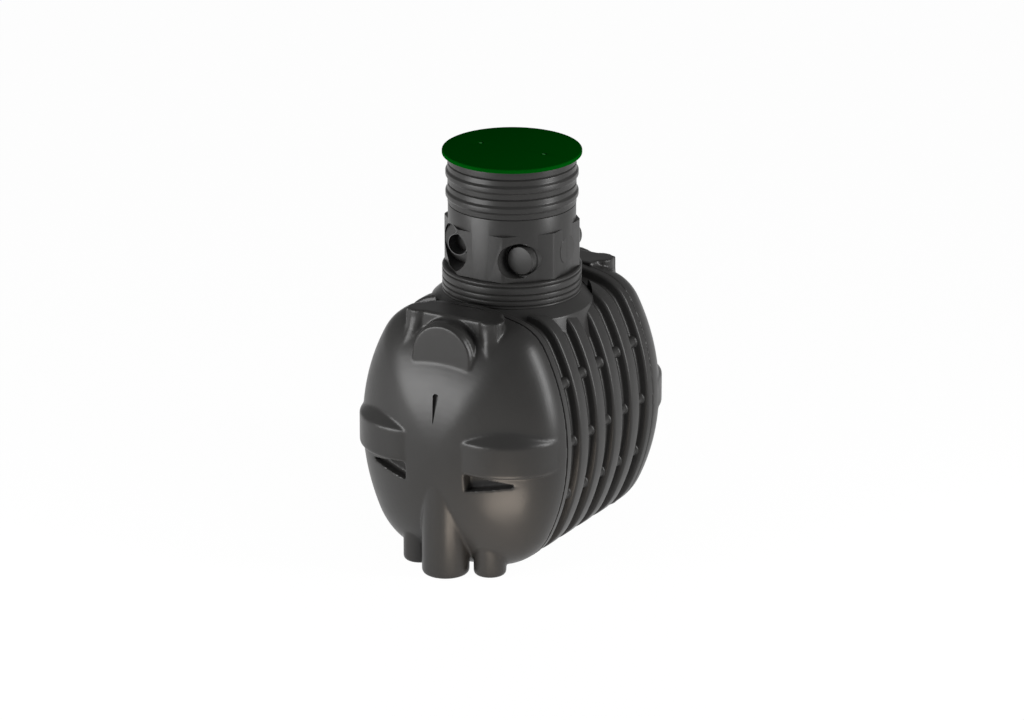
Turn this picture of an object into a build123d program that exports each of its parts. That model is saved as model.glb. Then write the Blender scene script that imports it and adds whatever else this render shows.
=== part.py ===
from build123d import *

import os
from math import atan2, cos, degrees, hypot, pi, sin, sqrt

os.makedirs("parts", exist_ok=True)

# Rainwater tank, lying body with a neck, in millimetres.
# The long axis of the body lies along Y, the front end faces -Y, and the origin is on the ground
# under the middle of the neck.

# Moulded wall
wall = 8.0

# Oval section of the body: side, crown and corner arcs that run into each other
body_half_width = 555.0
body_height = 1300.0
side_radius = 1050.0
crown_radius = 1100.0
corner_radius = 220.0

# Ribbed length between the two rims
rim = 423.0
seam_width = 4.0
seam_recess = 3.0
groove_count = 5
groove_pitch = 168.0
groove_width = 86.0
groove_depth = 45.0
groove_draft = 8.0
rib_chamfer = 10.0

# Half-round bumps that bridge the grooves on both sides
bump_heights = (390.0, 664.0, 950.0)
bump_radius = 30.0
bump_below_rib = 6.0

# Domed ends
dome_depth = 350.0
dome_roundness = 1.2
dome_lift = 40.0
dome_steps = 7
dome_last_angle = 84.0

# Round inlet boss high on each end
boss_height = 1124.0
boss_radius = 160.0
boss_face = 683.0
boss_step_radius = 150.0
boss_step_length = 26.0
boss_rounding = 8.0

# Flat shoulder with two lugs above the boss
shoulder_face = 572.0
shoulder_half_width = 258.0
shoulder_rim_half_width = 200.0
shoulder_foot = 1000.0
lug_spread = 218.0
lug_radius = 75.0
lug_foot_radius = 35.0
lug_length = 240.0

# Pads at the sides of each end, and the pockets under their inner ends
pad_spread = 232.0
pad_back = 448.0
pad_radius = 316.0
pad_bottom = 570.0
pad_top = 735.0
pad_rounding = 20.0
pocket_inner = 165.0
pocket_outer = 400.0
pocket_height = 62.0
pocket_depth = 70.0

# Feet under each end
centre_foot_y = 630.0
centre_foot_radius = 125.0
centre_foot_top = 620.0
corner_foot_x = 176.0
corner_foot_y = 510.0
corner_foot_radius = 78.0
corner_foot_top = 300.0
foot_rounding = 22.0

# Neck: saddle, collar, inlet ring, extension ring and lid
shaft_radius = 300.0
collar_radius = 340.0
collar_bottom = 1267.0
collar_bands = (17.0, 27.0, 29.0, 39.0, 20.0)
band_notch = 5.0
collar_wall = 20.0
collar_ledge = 34.0
moat_radius = 392.0
moat_floor = 1218.0
saddle_foot_radius = 440.0
saddle_foot_drop = 92.0
saddle_end_radius = 475.0
saddle_end_drop = 190.0
saddle_head_room = 5.0

# Inlet ring with flats, ports and blanks
ring_radius = 316.0
ring_height = 313.0
flat_distance = 308.0
flat_corner_radius = 332.0
flats_bottom_step = 2.0
flats_height = 232.0
port_x = 185.0
port_height = 109.0
port_radius = 70.0
port_face = 243.0
port_recess_radius = 88.0
port_recess_back = 200.0
blank_radius = 73.0
blank_groove = 5.0
blank_height = 117.0
blank_seat = 3.0
blank_proud = 1.0
inlet_height = 118.0
inlet_radius = 112.0
inlet_back = 136.0
pipe_radius = 55.0
pipe_wall = 3.4
pipe_gap = 0.3
pipe_face = 205.0
pipe_back = 60.0
pipe_stop_radius = 61.0
pipe_stop = 6.0

# Extension ring
extension_radius = 313.0
extension_height = 250.0
bead_count = 2
bead_pitch = 102.0
bead_radius = 323.0
bead_width = 44.0
bead_slope = 10.0
crease_depth = 5.0

# Lid
lid_radius = 340.0
lid_thickness = 17.0
lid_skirt = 3.0
lid_gap = 0.3
lid_rounding = 5.0
lid_recess_radius = 16.0
lid_recess_depth = 5.0
lid_screw_spread = 176.0
lid_screw_radius = 9.0
lid_screw_height = 4.0

# Heights and places that follow from the sizes above
half_height = body_height / 2
collar_top = collar_bottom + sum(collar_bands)
ring_top = collar_top + ring_height
extension_top = ring_top + extension_height
lid_top = extension_top + lid_thickness
flats_bottom = collar_top + flats_bottom_step
flats_top = flats_bottom + flats_height
port_z = collar_top + port_height
blank_z = collar_top + blank_height
inlet_z = collar_top + inlet_height
body_end = rim - seam_width / 2
dome_start = rim + seam_width / 2


def save(piece, name):
    """Labels one finished piece and writes its file."""
    piece.part.label = name
    export_step(piece.part, f"parts/{name}.step")


# Where the corner arcs of the oval have their centre, and the angles at which the arcs meet
side_centre = body_half_width - side_radius
crown_centre = half_height - crown_radius
side_reach = side_radius - corner_radius
crown_reach = crown_radius - corner_radius
centre_gap = hypot(side_centre, crown_centre)
along = (side_reach**2 - crown_reach**2 + centre_gap**2) / (2 * centre_gap)
across = sqrt(side_reach**2 - along**2)
corner_x = side_centre - along * side_centre / centre_gap - across * crown_centre / centre_gap
corner_z = along * crown_centre / centre_gap - across * side_centre / centre_gap
side_angle = degrees(atan2(corner_z, corner_x - side_centre))
crown_angle = degrees(atan2(corner_z - crown_centre, corner_x))

# The eight arcs: name, centre from the middle of the oval, radius, start angle and sweep
oval_arcs = (
    ("right_wall", side_centre, 0, side_radius, -side_angle, 2 * side_angle),
    ("upper_right_wall", corner_x, corner_z, corner_radius, side_angle, crown_angle - side_angle),
    ("crown_wall", 0, crown_centre, crown_radius, crown_angle, 180 - 2 * crown_angle),
    ("upper_left_wall", -corner_x, corner_z, corner_radius, 180 - crown_angle, crown_angle - side_angle),
    ("left_wall", -side_centre, 0, side_radius, 180 - side_angle, 2 * side_angle),
    ("lower_left_wall", -corner_x, -corner_z, corner_radius, 180 + side_angle, crown_angle - side_angle),
    ("floor_wall", 0, -crown_centre, crown_radius, 180 + crown_angle, 180 - 2 * crown_angle),
    ("lower_right_wall", corner_x, -corner_z, corner_radius, -crown_angle, crown_angle - side_angle),
)


def oval(inset, scale=1.0, lift=0.0):
    """The oval section, moved in by inset, then scaled about its middle and lifted."""
    with BuildSketch() as section:
        with BuildLine():
            for _, centre_x, centre_z, radius, start, sweep in oval_arcs:
                middle = (centre_x * scale, half_height + lift + centre_z * scale)
                CenterArc(middle, (radius - inset) * scale, start, sweep)
        make_face()
    return section.sketch


def round_post(x, y, bottom, top, radius, rounding):
    """An upright round post with rounded ends."""
    with BuildPart() as post:
        with BuildSketch(Plane((x, y, 0), x_dir=(1, 0, 0), z_dir=(0, -1, 0))):
            with BuildLine():
                FilletPolyline(
                    (0, bottom), (radius, bottom), (radius, top), (0, top), radius=rounding)
                Line((0, top), (0, bottom))
            make_face()
        revolve(axis=Axis((x, y, 0), (0, 0, 1)))
    return post.part


def end_form(inset):
    """The closed form of one end, moved in by inset: 0 gives the outside and the wall the inside."""
    with BuildPart() as form:
        # Dome, through ovals that shrink toward the pole
        for step in range(dome_steps + 1):
            angle = step * dome_last_angle / dome_steps * pi / 180
            reach = (dome_depth - inset) * sin(angle) ** dome_roundness
            with BuildSketch(Plane.XZ.offset(dome_start + reach)):
                add(oval(inset, cos(angle), dome_lift * (1 - cos(angle))))
        loft()
        # Inlet boss with a stepped edge
        with BuildSketch(Plane.XZ.offset(dome_start)):
            with Locations((0, boss_height)):
                Circle(boss_radius - inset)
        extrude(amount=boss_face - boss_step_length - dome_start - inset)
        with BuildSketch(Plane.XZ.offset(dome_start)):
            with Locations((0, boss_height)):
                Circle(boss_step_radius - inset)
        extrude(amount=boss_face - dome_start - inset)
        # Shoulder with a flat top
        with BuildSketch(Plane.XY.offset(shoulder_foot)):
            Polygon(
                (-shoulder_rim_half_width + inset, -dome_start),
                (-shoulder_half_width + inset, -shoulder_face + inset),
                (shoulder_half_width - inset, -shoulder_face + inset),
                (shoulder_rim_half_width - inset, -dome_start),
                align=None,
            )
        extrude(amount=body_height - inset - shoulder_foot)
        for side in (-1, 1):
            # Lug that narrows downward
            with BuildSketch(Plane.XY.offset(body_height - inset)):
                with Locations((side * lug_spread, -shoulder_face)):
                    Circle(lug_radius - inset)
            with BuildSketch(Plane.XY.offset(body_height - lug_length)):
                with Locations((side * lug_spread, -shoulder_face)):
                    Circle(lug_foot_radius - inset)
            loft()
            # Side pad and corner foot
            add(round_post(side * pad_spread, -pad_back, pad_bottom + inset, pad_top - inset,
                           pad_radius - inset, pad_rounding - inset))
            add(round_post(side * corner_foot_x, -corner_foot_y, inset, corner_foot_top,
                           corner_foot_radius - inset, foot_rounding - inset))
        add(round_post(0, -centre_foot_y, inset, centre_foot_top, centre_foot_radius - inset,
                       foot_rounding - inset))
        # Everything of an end lies in front of its rim
        with BuildSketch(Plane.XZ.offset(dome_start)):
            Rectangle(4 * body_half_width, 4 * body_height)
        extrude(amount=-dome_start - body_half_width, mode=Mode.SUBTRACT)
    return form.part


with BuildPart() as front_end:
    add(end_form(0))
    add(end_form(wall), mode=Mode.SUBTRACT)
save(front_end, "front_end")

with BuildPart() as rear_end:
    mirror(front_end.part, about=Plane.XZ)
save(rear_end, "rear_end")


# Seams: the thin set-back line between each rim and the ribbed body
for seam_name, side in (("front_seam", 1), ("rear_seam", -1)):
    with BuildPart() as seam:
        with BuildSketch(Plane.XZ.offset(side * rim)):
            add(oval(seam_recess))
        extrude(amount=seam_width / 2, both=True)
        with BuildSketch(Plane.XZ.offset(side * rim)):
            add(oval(wall))
        extrude(amount=seam_width / 2, both=True, mode=Mode.SUBTRACT)
    save(seam, seam_name)


# Ribbed wall: its profile runs along the body, and each arc of the oval turns it about its centre
groove_places = [(i - (groove_count - 1) / 2) * groove_pitch for i in range(groove_count)]


def rib_outline(radius):
    """The wall's profile: distance from the arc's centre, then place along the body."""
    half = groove_width / 2
    outside = [(radius, -body_end)]
    inside = [(radius - wall, -body_end)]
    floor = half - groove_draft
    for place in groove_places:
        outside += [
            (radius, place - half - rib_chamfer),
            (radius - rib_chamfer, place - half),
            (radius - groove_depth, place - floor),
            (radius - groove_depth, place + floor),
            (radius - rib_chamfer, place + half),
            (radius, place + half + rib_chamfer),
        ]
        inside += [
            (radius - wall, place - half - wall),
            (radius - groove_depth - wall, place - floor - wall),
            (radius - groove_depth - wall, place + floor + wall),
            (radius - wall, place + half + wall),
        ]
    outside.append((radius, body_end))
    inside.append((radius - wall, body_end))
    return outside + inside[::-1]


def wall_segment(arc):
    """One arc of the ribbed wall."""
    _, centre_x, centre_z, radius, start, sweep = arc
    centre = (centre_x, 0, half_height + centre_z)
    lean = start * pi / 180
    with BuildPart() as segment:
        with BuildSketch(Plane(centre, x_dir=(cos(lean), 0, sin(lean)), z_dir=(-sin(lean), 0, cos(lean)))):
            Polygon(*rib_outline(radius), align=None)
        revolve(axis=Axis(centre, (0, -1, 0)), revolution_arc=sweep)
    return segment.part


def half_width_at(height):
    """How far the side arc of the oval stands out at a height over the ground."""
    return side_centre + sqrt(side_radius**2 - (height - half_height) ** 2)


def saddle_outline(inset):
    """The saddle from its foot to the collar, as distance from the neck's axis and height."""
    return [
        (saddle_end_radius - inset, moat_floor - saddle_end_drop),
        (saddle_foot_radius - inset, moat_floor - saddle_foot_drop),
        (moat_radius - inset, moat_floor - inset),
        (collar_radius + inset / 2, collar_bottom - inset),
        (collar_radius - collar_wall, collar_bottom - inset),
    ]


with BuildPart() as neck_clearance:
    with BuildSketch(Plane.XZ):
        Polygon(
            (0, moat_floor - saddle_end_drop),
            *saddle_outline(0)[:3],
            (moat_radius, body_height + saddle_head_room),
            (0, body_height + saddle_head_room),
            align=None,
        )
    revolve(axis=Axis.Z)

# The body filled up to its ribs, which ends the moat's wall, and the room inside under the grooves
with BuildPart() as rib_level:
    with BuildSketch(Plane.XZ):
        add(oval(0))
    extrude(amount=body_end, both=True)
    for place in groove_places:
        with BuildSketch(Plane.XZ.offset(place)):
            add(oval(0))
            add(oval(groove_depth), mode=Mode.SUBTRACT)
        extrude(amount=groove_width / 2, both=True, mode=Mode.SUBTRACT)

with BuildPart() as room_under_grooves:
    with BuildSketch(Plane.XZ):
        add(oval(groove_depth))
    extrude(amount=2 * body_half_width, both=True)
    with BuildSketch():
        Circle(moat_radius)
    extrude(amount=body_height, mode=Mode.SUBTRACT)

for arc in oval_arcs:
    arc_name = arc[0]
    with BuildPart() as segment:
        add(wall_segment(arc))
        if arc_name in ("right_wall", "left_wall"):
            side = 1 if arc_name == "right_wall" else -1
            for place in groove_places:
                for height in bump_heights:
                    x = side * (half_width_at(height) - bump_radius - bump_below_rib)
                    with BuildSketch(Plane.XZ.offset(place)):
                        with Locations((x, height)):
                            Circle(bump_radius)
                    extrude(amount=groove_width / 2, both=True)
        if not arc_name.startswith(("lower", "floor")):
            add(neck_clearance.part, mode=Mode.SUBTRACT)
    if arc_name == "crown_wall":
        ends = segment.solids().sort_by(Axis.Y)
        for end_name, end in (("front_crown", ends[0]), ("rear_crown", ends[-1])):
            with BuildPart() as crown:
                add(end)
            save(crown, end_name)
    else:
        save(segment, arc_name)


# Saddle: the floor of the moat round the neck, the moat's wall and the skirt over the grooves
with BuildPart() as moat_wall:
    with BuildSketch(Plane.XY.offset(moat_floor - wall)):
        Circle(moat_radius)
        Circle(moat_radius - wall, mode=Mode.SUBTRACT)
    extrude(amount=body_height - moat_floor + wall)
    add(rib_level.part, mode=Mode.INTERSECT)

with BuildPart() as neck_saddle:
    with BuildSketch(Plane.XZ):
        Polygon(*saddle_outline(0), *saddle_outline(wall)[::-1], align=None)
    revolve(axis=Axis.Z)
    add(room_under_grooves.part, mode=Mode.SUBTRACT)
    add(moat_wall.part)
save(neck_saddle, "neck_saddle")


# Collar with stacked bands
with BuildPart() as neck_collar:
    with BuildSketch(Plane.XZ):
        height = collar_bottom
        outline = [(collar_radius - band_notch, height)]
        for band in collar_bands:
            outline += [
                (collar_radius, height + band_notch),
                (collar_radius, height + band - band_notch),
                (collar_radius - band_notch, height + band),
            ]
            height += band
        outline += [
            (shaft_radius, collar_top),
            (shaft_radius, collar_top - collar_ledge),
            (collar_radius - collar_wall, collar_top - collar_ledge - collar_wall),
            (collar_radius - collar_wall, collar_bottom),
        ]
        Polygon(*outline, align=None)
    revolve(axis=Axis.Z)
save(neck_collar, "neck_collar")


# Inlet ring: round at top and foot, eight-sided between them
with BuildPart() as ring_form:
    with BuildSketch(Plane.XY.offset(collar_top)):
        Circle(ring_radius)
    extrude(amount=flats_bottom_step)
    with BuildSketch(Plane.XY.offset(flats_bottom)):
        RegularPolygon(flat_distance, 8, major_radius=False, rotation=360 / 16)
        Circle(flat_corner_radius, mode=Mode.INTERSECT)
    extrude(amount=flats_height)
    with BuildSketch(Plane.XY.offset(flats_top)):
        Circle(ring_radius)
    extrude(amount=ring_top - flats_top)


def along_body(x, z, radius, face, depth, front):
    """A round bar along the body that ends at a distance to the front or the rear of the neck."""
    side = 1 if front else -1
    with BuildPart() as bar:
        with BuildSketch(Plane.XZ.offset(side * face)):
            with Locations((x, z)):
                Circle(radius)
        extrude(amount=side * -depth)
    return bar.part


# The closed ports: name, side of the body's axis and whether they look to the front
closed_ports = (
    ("front_right_port", 1, True),
    ("rear_right_port", 1, False),
    ("rear_left_port", -1, False),
)

with BuildPart() as inlet_ring:
    add(ring_form.part)
    with BuildSketch(Plane.XY.offset(collar_top)):
        Circle(shaft_radius)
    extrude(amount=ring_height, mode=Mode.SUBTRACT)
    # Pockets round the closed ports
    for _, side, front in closed_ports:
        pocket = along_body(side * port_x, port_z, port_recess_radius + wall, ring_radius,
                            ring_radius - port_recess_back + wall, front)
        add(pocket & ring_form.part)
        add(along_body(side * port_x, port_z, port_recess_radius, ring_radius,
                       ring_radius - port_recess_back, front), mode=Mode.SUBTRACT)
    # The open port at the front left, with the plate that holds the pipe
    pocket = along_body(-port_x, inlet_z, inlet_radius + wall, ring_radius,
                        ring_radius - inlet_back + wall, True)
    add(pocket & ring_form.part)
    add(along_body(-port_x, inlet_z, inlet_radius, ring_radius, ring_radius - inlet_back, True),
        mode=Mode.SUBTRACT)
    add(along_body(-port_x, inlet_z, pipe_radius + pipe_gap, ring_radius, ring_radius, True),
        mode=Mode.SUBTRACT)
    # Shallow seats of the two side blanks
    for side in (-1, 1):
        with BuildSketch(Plane.YZ.offset(side * (flat_distance - blank_seat))):
            with Locations((0, blank_z)):
                Circle(blank_radius + blank_groove)
        extrude(amount=side * (blank_seat + blank_proud), mode=Mode.SUBTRACT)
save(inlet_ring, "inlet_ring")

for port_name, side, front in closed_ports:
    with BuildPart() as port:
        add(along_body(side * port_x, port_z, port_radius, port_face,
                       port_face - port_recess_back, front))
        add(along_body(side * port_x, port_z, port_radius - wall, port_face - wall,
                       port_face - wall - port_recess_back, front), mode=Mode.SUBTRACT)
    save(port, port_name)

with BuildPart() as inlet_pipe:
    add(along_body(-port_x, inlet_z, pipe_radius, pipe_face, pipe_face - pipe_back, True))
    add(along_body(-port_x, inlet_z, pipe_stop_radius, inlet_back + pipe_stop, pipe_stop, True))
    add(along_body(-port_x, inlet_z, pipe_radius - pipe_wall, pipe_face, pipe_face - pipe_back, True),
        mode=Mode.SUBTRACT)
save(inlet_pipe, "inlet_pipe")

for blank_name, side in (("right_blank", 1), ("left_blank", -1)):
    with BuildPart() as blank:
        with BuildSketch(Plane.YZ.offset(side * (flat_distance - blank_seat))):
            with Locations((0, blank_z)):
                Circle(blank_radius)
        extrude(amount=side * (blank_seat + blank_proud))
    save(blank, blank_name)


# Extension ring with beads and creases
with BuildPart() as extension_ring:
    with BuildSketch(Plane.XZ):
        outline = [(extension_radius - crease_depth, ring_top)]
        for turn in range(bead_count):
            low = ring_top + turn * bead_pitch
            middle = low + bead_pitch / 2
            outline += [
                (extension_radius, low + crease_depth),
                (extension_radius, middle - bead_width / 2),
                (bead_radius, middle - bead_width / 2 + bead_slope),
                (bead_radius, middle + bead_width / 2 - bead_slope),
                (extension_radius, middle + bead_width / 2),
                (extension_radius, low + bead_pitch - crease_depth),
                (extension_radius - crease_depth, low + bead_pitch),
            ]
        low += bead_pitch
        outline += [
            (extension_radius, low + crease_depth),
            (extension_radius, extension_top),
            (shaft_radius, extension_top),
            (shaft_radius, ring_top),
        ]
        Polygon(*outline, align=None)
    revolve(axis=Axis.Z)
save(extension_ring, "extension_ring")


# Lid: a disc with a skirt that goes round the top of the extension, and two screws in its top
with BuildPart() as lid:
    with BuildSketch(Plane.XZ):
        Polygon(
            (0, extension_top),
            (extension_radius + lid_gap, extension_top),
            (extension_radius + lid_gap, extension_top - lid_skirt),
            (lid_radius - lid_rounding, extension_top - lid_skirt),
            (lid_radius, extension_top - lid_skirt + lid_rounding),
            (lid_radius, lid_top - lid_rounding),
            (lid_radius - lid_rounding, lid_top),
            (0, lid_top),
            align=None,
        )
    revolve(axis=Axis.Z)
    with BuildSketch(Plane.XY.offset(lid_top)):
        with Locations((-lid_screw_spread, 0), (lid_screw_spread, 0)):
            Circle(lid_recess_radius)
    extrude(amount=-lid_recess_depth, mode=Mode.SUBTRACT)
save(lid, "lid")

with BuildPart() as lid_screws:
    with BuildSketch(Plane.XY.offset(lid_top - lid_recess_depth)):
        with Locations((-lid_screw_spread, 0), (lid_screw_spread, 0)):
            RegularPolygon(lid_screw_radius, 6)
    extrude(amount=lid_screw_height)
save(lid_screws, "lid_screws")
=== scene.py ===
import math

import bmesh
import bpy
from bpy.props import FloatProperty, FloatVectorProperty, PointerProperty
from mathutils import Matrix, Vector
from mathutils.bvhtree import BVHTree


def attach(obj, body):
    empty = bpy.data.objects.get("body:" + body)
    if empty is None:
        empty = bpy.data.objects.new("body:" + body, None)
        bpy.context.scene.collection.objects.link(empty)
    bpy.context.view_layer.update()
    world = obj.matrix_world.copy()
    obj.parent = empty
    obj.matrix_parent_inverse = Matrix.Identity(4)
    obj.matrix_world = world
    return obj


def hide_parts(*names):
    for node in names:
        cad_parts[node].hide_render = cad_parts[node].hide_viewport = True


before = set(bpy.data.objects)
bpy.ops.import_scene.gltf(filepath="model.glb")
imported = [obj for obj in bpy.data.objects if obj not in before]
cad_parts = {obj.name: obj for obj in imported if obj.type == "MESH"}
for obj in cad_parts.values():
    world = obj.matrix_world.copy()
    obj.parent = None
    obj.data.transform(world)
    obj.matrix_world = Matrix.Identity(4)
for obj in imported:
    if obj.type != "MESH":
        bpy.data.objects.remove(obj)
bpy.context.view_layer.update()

bl_info = {
    "name": "Rainwater tank finish",
    "version": (1, 0, 0),
    "blender": (4, 5, 0),
    "location": "3D View > Sidebar > Tank",
    "description": "Dresses the rainwater tank: moulded ends, ribbed body, neck, lid and finishes",
    "category": "Object",
}

ROOT = "root"

# The CAD nodes that the ribbed body replaces
BODY_NODES = (
    "right_wall", "left_wall", "floor_wall", "lower_right_wall", "lower_left_wall",
    "upper_right_wall", "upper_left_wall", "front_crown", "rear_crown",
)


# Sizes and colours that a user would change

class TankFinish(bpy.types.PropertyGroup):
    """Colours and grain of the tank's materials."""

    body_colour: FloatVectorProperty(
        name="Body colour", description="Colour of the moulded black plastic", subtype="COLOR",
        size=4, min=0, max=1, default=(0.02, 0.0195, 0.019, 1))
    body_roughness: FloatProperty(
        name="Body roughness", description="How matt the moulded plastic is", min=0, max=1,
        default=0.36)
    lid_colour: FloatVectorProperty(
        name="Lid colour", description="Colour of the lid", subtype="COLOR", size=4, min=0, max=1,
        default=(0.0, 0.045, 0.002, 1))
    pipe_colour: FloatVectorProperty(
        name="Pipe colour", description="Colour of the inlet pipe", subtype="COLOR", size=4,
        min=0, max=1, default=(0.05, 0.05, 0.05, 1))
    grain: FloatProperty(
        name="Grain", description="Depth of the fine grain of the moulded skin", min=0, max=1,
        default=0.06)


class TankShape(bpy.types.PropertyGroup):
    """Sizes of the moulded body that a user would change."""

    rib_rounding: FloatProperty(
        name="Rib rounding", description="Radius of the edges of the ribs", subtype="DISTANCE",
        unit="LENGTH", min=0.001, max=0.03, default=0.016)


class TankStage(bpy.types.PropertyGroup):
    """Camera and light."""

    camera_turn: FloatProperty(
        name="Camera turn", description="Camera's angle from straight in front", subtype="ANGLE",
        default=math.radians(30))
    camera_rise: FloatProperty(
        name="Camera rise", description="Camera's angle above the horizon", subtype="ANGLE",
        default=math.radians(20))
    camera_distance: FloatProperty(
        name="Camera distance", description="From the camera to the tank", subtype="DISTANCE",
        unit="LENGTH", default=30.0)
    picture_scale: FloatProperty(
        name="Picture scale", description="Picture widths that one metre of the tank takes up",
        default=204.4 / 1024)
    aim_height: FloatProperty(
        name="Aim height", description="Height on the neck's axis at the picture's middle",
        subtype="DISTANCE", unit="LENGTH", default=0.890)
    front_power: FloatProperty(
        name="Front lamp", description="Power of the broad lamp at the front left",
        subtype="POWER", unit="POWER", min=0, default=300.0)
    side_power: FloatProperty(
        name="Side lamp", description="Power of the tall lamp on the right", subtype="POWER",
        unit="POWER", min=0, default=300.0)
    low_power: FloatProperty(
        name="Low lamp", description="Power of the warm lamp low in front", subtype="POWER",
        unit="POWER", min=0, default=9.0)
    world_strength: FloatProperty(
        name="World strength", description="Strength of the light from all round", min=0, max=2,
        default=0.3)
    floor_whiteness: FloatProperty(
        name="Floor whiteness", description="How far the floor shows as plain white", min=0,
        max=1, default=0.975)
    floor_reach: FloatProperty(
        name="Floor reach", description="From the tank to the floor's edge", subtype="DISTANCE",
        unit="LENGTH", min=5, default=40.0)


# Shader node groups

def add_sockets(group, inputs, outputs):
    """Gives a node group its named sockets, with their starting values."""
    for name, kind, value in inputs:
        socket = group.interface.new_socket(name=name, in_out="INPUT", socket_type=kind)
        if value is not None:
            socket.default_value = value
    for name, kind in outputs:
        group.interface.new_socket(name=name, in_out="OUTPUT", socket_type=kind)


def node(tree, kind, x, y, **values):
    """Adds a shader node at a place in the editor and sets its plain values."""
    made = tree.nodes.new(kind)
    made.location = (x, y)
    for key, value in values.items():
        setattr(made, key, value)
    return made


def moulded_skin_group():
    """Fine grain, slow waves of the moulding and a slight change of gloss and tone."""
    group = bpy.data.node_groups.get("Moulded skin")
    if group:
        return group
    group = bpy.data.node_groups.new("Moulded skin", "ShaderNodeTree")
    add_sockets(
        group,
        (
            ("Colour", "NodeSocketColor", (0.05, 0.05, 0.05, 1)),
            ("Roughness", "NodeSocketFloat", 0.4),
            ("Grain size", "NodeSocketFloat", 700.0),
            ("Grain depth", "NodeSocketFloat", 0.06),
            ("Wave depth", "NodeSocketFloat", 0.02),
            ("Tone change", "NodeSocketFloat", 0.12),
        ),
        (("Colour", "NodeSocketColor"), ("Roughness", "NodeSocketFloat"),
         ("Normal", "NodeSocketVector")),
    )
    given = node(group, "NodeGroupInput", -1000, 0)
    out = node(group, "NodeGroupOutput", 600, 0)
    place = node(group, "ShaderNodeTexCoord", -1000, -300)
    link = group.links.new
    # Tone: broad clouds that lighten and darken the plastic a little
    clouds = node(group, "ShaderNodeTexNoise", -700, 300)
    clouds.inputs["Scale"].default_value = 3.2
    clouds.inputs["Detail"].default_value = 4.0
    link(place.outputs["Object"], clouds.inputs["Vector"])
    centred = node(group, "ShaderNodeMath", -500, 300, operation="SUBTRACT")
    centred.inputs[1].default_value = 0.5
    link(clouds.outputs["Fac"], centred.inputs[0])
    amount = node(group, "ShaderNodeMath", -330, 300, operation="MULTIPLY_ADD")
    amount.inputs[2].default_value = 1.0
    link(centred.outputs[0], amount.inputs[0])
    link(given.outputs["Tone change"], amount.inputs[1])
    tinted = node(group, "ShaderNodeVectorMath", -100, 300, operation="SCALE")
    link(given.outputs["Colour"], tinted.inputs[0])
    link(amount.outputs[0], tinted.inputs["Scale"])
    link(tinted.outputs[0], out.inputs["Colour"])
    # Gloss: fine patches, a little duller or shinier
    patches = node(group, "ShaderNodeTexNoise", -700, 60)
    patches.inputs["Scale"].default_value = 14.0
    patches.inputs["Detail"].default_value = 6.0
    link(place.outputs["Object"], patches.inputs["Vector"])
    gloss = node(group, "ShaderNodeMath", -330, 60, operation="MULTIPLY_ADD")
    gloss.inputs[1].default_value = 0.10
    link(patches.outputs["Fac"], gloss.inputs[0])
    lowered = node(group, "ShaderNodeMath", -500, -60, operation="SUBTRACT")
    lowered.inputs[1].default_value = 0.05
    link(given.outputs["Roughness"], lowered.inputs[0])
    link(lowered.outputs[0], gloss.inputs[2])
    link(gloss.outputs[0], out.inputs["Roughness"])
    # Relief: slow waves of the wall under a fine grain
    waves = node(group, "ShaderNodeTexNoise", -700, -250)
    waves.inputs["Scale"].default_value = 9.0
    waves.inputs["Detail"].default_value = 1.0
    link(place.outputs["Object"], waves.inputs["Vector"])
    slow = node(group, "ShaderNodeBump", -200, -250)
    slow.inputs["Distance"].default_value = 0.02
    link(given.outputs["Wave depth"], slow.inputs["Strength"])
    link(waves.outputs["Fac"], slow.inputs["Height"])
    grains = node(group, "ShaderNodeTexNoise", -700, -480)
    grains.inputs["Detail"].default_value = 2.0
    link(given.outputs["Grain size"], grains.inputs["Scale"])
    link(place.outputs["Object"], grains.inputs["Vector"])
    fine = node(group, "ShaderNodeBump", 100, -350)
    fine.inputs["Distance"].default_value = 0.001
    link(given.outputs["Grain depth"], fine.inputs["Strength"])
    link(grains.outputs["Fac"], fine.inputs["Height"])
    link(slow.outputs["Normal"], fine.inputs["Normal"])
    link(fine.outputs["Normal"], out.inputs["Normal"])
    return group


def plastic(name, colour, roughness, specular, grain_size, grain_depth, wave_depth, tone_change):
    """One moulded plastic: the shared skin with its own values."""
    made = bpy.data.materials.get(name)
    if made:
        return made
    made = bpy.data.materials.new(name)
    made.use_nodes = True
    tree = made.node_tree
    shader = tree.nodes["Principled BSDF"]
    skin = node(tree, "ShaderNodeGroup", -300, 0, node_tree=moulded_skin_group())
    skin.inputs["Colour"].default_value = colour
    skin.inputs["Roughness"].default_value = roughness
    skin.inputs["Grain size"].default_value = grain_size
    skin.inputs["Grain depth"].default_value = grain_depth
    skin.inputs["Wave depth"].default_value = wave_depth
    skin.inputs["Tone change"].default_value = tone_change
    shader.inputs["IOR"].default_value = 1.5
    shader.inputs["Specular IOR Level"].default_value = specular
    tree.links.new(skin.outputs["Colour"], shader.inputs["Base Color"])
    tree.links.new(skin.outputs["Roughness"], shader.inputs["Roughness"])
    tree.links.new(skin.outputs["Normal"], shader.inputs["Normal"])
    return made


def black_plastic():
    """The moulded polyethylene of the body and neck."""
    look = bpy.context.scene.tank_finish
    return plastic("Black polyethylene", look.body_colour, look.body_roughness, 0.22, 700.0,
                   look.grain, 0.03, 0.12)


def green_plastic():
    """The lid's polyethylene."""
    look = bpy.context.scene.tank_finish
    return plastic("Green polyethylene", look.lid_colour, 0.5, 0.0, 900.0, 0.12, 0.01, 0.08)


def screw_plastic():
    """The paler plastic of the lid's screws."""
    return plastic("Screw polyethylene", (0.01, 0.16, 0.02, 1), 0.5, 0.1, 900.0, 0.1, 0.0, 0.05)


def pipe_plastic():
    """The smooth plastic of the inlet pipe."""
    look = bpy.context.scene.tank_finish
    return plastic("Pipe plastic", look.pipe_colour, 0.3, 0.4, 1500.0, 0.02, 0.0, 0.05)


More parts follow.
